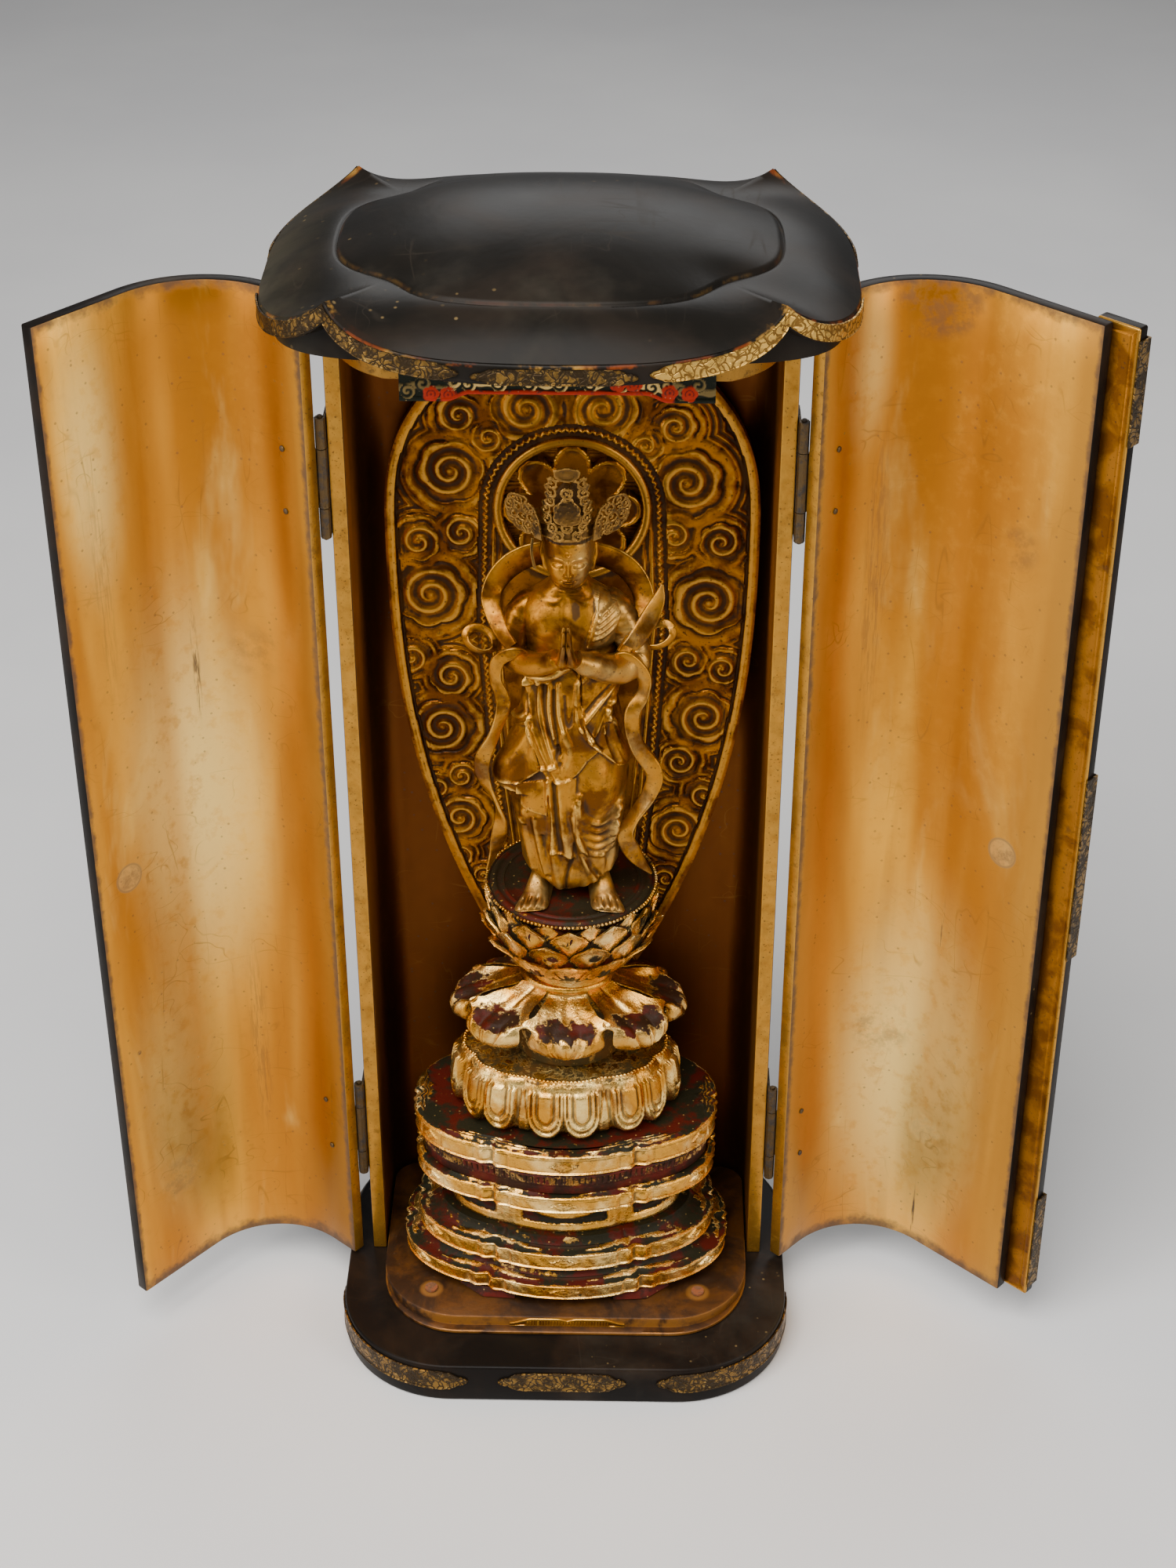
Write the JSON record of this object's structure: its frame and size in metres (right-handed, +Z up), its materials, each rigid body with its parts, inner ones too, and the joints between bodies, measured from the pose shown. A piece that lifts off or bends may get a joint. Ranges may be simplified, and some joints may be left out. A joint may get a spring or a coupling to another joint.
{
  "type": "buddhist home altar",
  "caption": "Lacquered cabinet with a horned roof and hinged curved doors; inside, a gilt standing figure with a halo board on a stepped lotus pedestal.",
  "frame": {"origin": "centre of the underside of the base slab", "axes": "+Z up, -Y towards the front where the doors open, +X towards the viewer's right"},
  "size_m": [0.3668, 0.1524, 0.4758],
  "materials": {
    "black_lacquer": "old black-brown lacquer, glossy, worn at the edges; gilt on the inner faces",
    "dull_gilt": "old gold leaf and gold lacquer, satin, darkened",
    "gold_leaf": "bright gold leaf worn through to red-brown ground",
    "worn_bole": "matt red-brown ground with traces of gilding",
    "dark_gilt_copper": "darkened gilt copper, engraved",
    "rusty_iron": "rusted iron",
    "painted_wood": "dark green-black paint with cream, gold and red ornament"
  },
  "bodies": {
    "cabinet": {"base_slab": "black_lacquer", "cabinet_shell": "black_lacquer", "roof": "black_lacquer", "floor_plate": "dull_gilt", "ceiling_board": "dull_gilt", "halo_board": "dull_gilt", "figure": "dull_gilt", "bottom_tier": "gold_leaf", "third_tier": "gold_leaf", "pedestal_drum": "gold_leaf", "second_tier": "gold_leaf", "top_tier": "gold_leaf", "petal_block": "gold_leaf", "leaf_tier": "gold_leaf", "lotus_seat": "gold_leaf", "pedestal_foot_1": "worn_bole", "pedestal_foot_2": "worn_bole", "pedestal_foot_3": "worn_bole", "pedestal_foot_4": "worn_bole", "ribbed_spacer": "worn_bole", "base_centre_plaque": "dark_gilt_copper", "base_front_left_fitting": "dark_gilt_copper", "base_front_right_fitting": "dark_gilt_copper", "base_back_left_fitting": "dark_gilt_copper", "base_back_right_fitting": "dark_gilt_copper", "rim_centre_plaque": "dark_gilt_copper", "rim_back_right_fitting": "dark_gilt_copper", "rim_back_left_fitting": "dark_gilt_copper", "rim_front_left_fitting": "dark_gilt_copper", "rim_front_right_fitting": "dark_gilt_copper", "crown": "dark_gilt_copper", "lower_left_hinge_post_leaf": "dark_gilt_copper", "lower_left_hinge_pin": "dark_gilt_copper", "lower_right_hinge_post_leaf": "dark_gilt_copper", "lower_right_hinge_pin": "dark_gilt_copper", "upper_left_hinge_post_leaf": "dark_gilt_copper", "upper_left_hinge_pin": "dark_gilt_copper", "upper_right_hinge_post_leaf": "dark_gilt_copper", "upper_right_hinge_pin": "dark_gilt_copper", "floor_screw_left": "rusty_iron", "floor_screw_right": "rusty_iron", "painted_valance": "painted_wood"},
    "door_left": {"left_door": "black_lacquer", "left_door_pull": "dark_gilt_copper", "lower_left_hinge_door_leaf": "dark_gilt_copper", "upper_left_hinge_door_leaf": "dark_gilt_copper"},
    "door_right": {"right_door": "black_lacquer", "right_door_pull": "dark_gilt_copper", "meeting_strip": "black_lacquer", "strip_plate_1": "dark_gilt_copper", "strip_plate_2": "dark_gilt_copper", "strip_plate_3": "dark_gilt_copper", "lower_right_hinge_door_leaf": "dark_gilt_copper", "upper_right_hinge_door_leaf": "dark_gilt_copper"}
  },
  "joints": [
    {"name": "left_door_hinge", "type": "hinge", "parent": "cabinet", "child": "door_left", "pos_m": [-0.0826, -0.0014, 0.22], "axis": [0, 0, 1], "range_deg": [-34.5, 130.5]},
    {"name": "right_door_hinge", "type": "hinge", "parent": "cabinet", "child": "door_right", "pos_m": [0.0826, -0.0014, 0.22], "axis": [0, 0, 1], "range_deg": [-137.6, 27.4]}
  ]
}
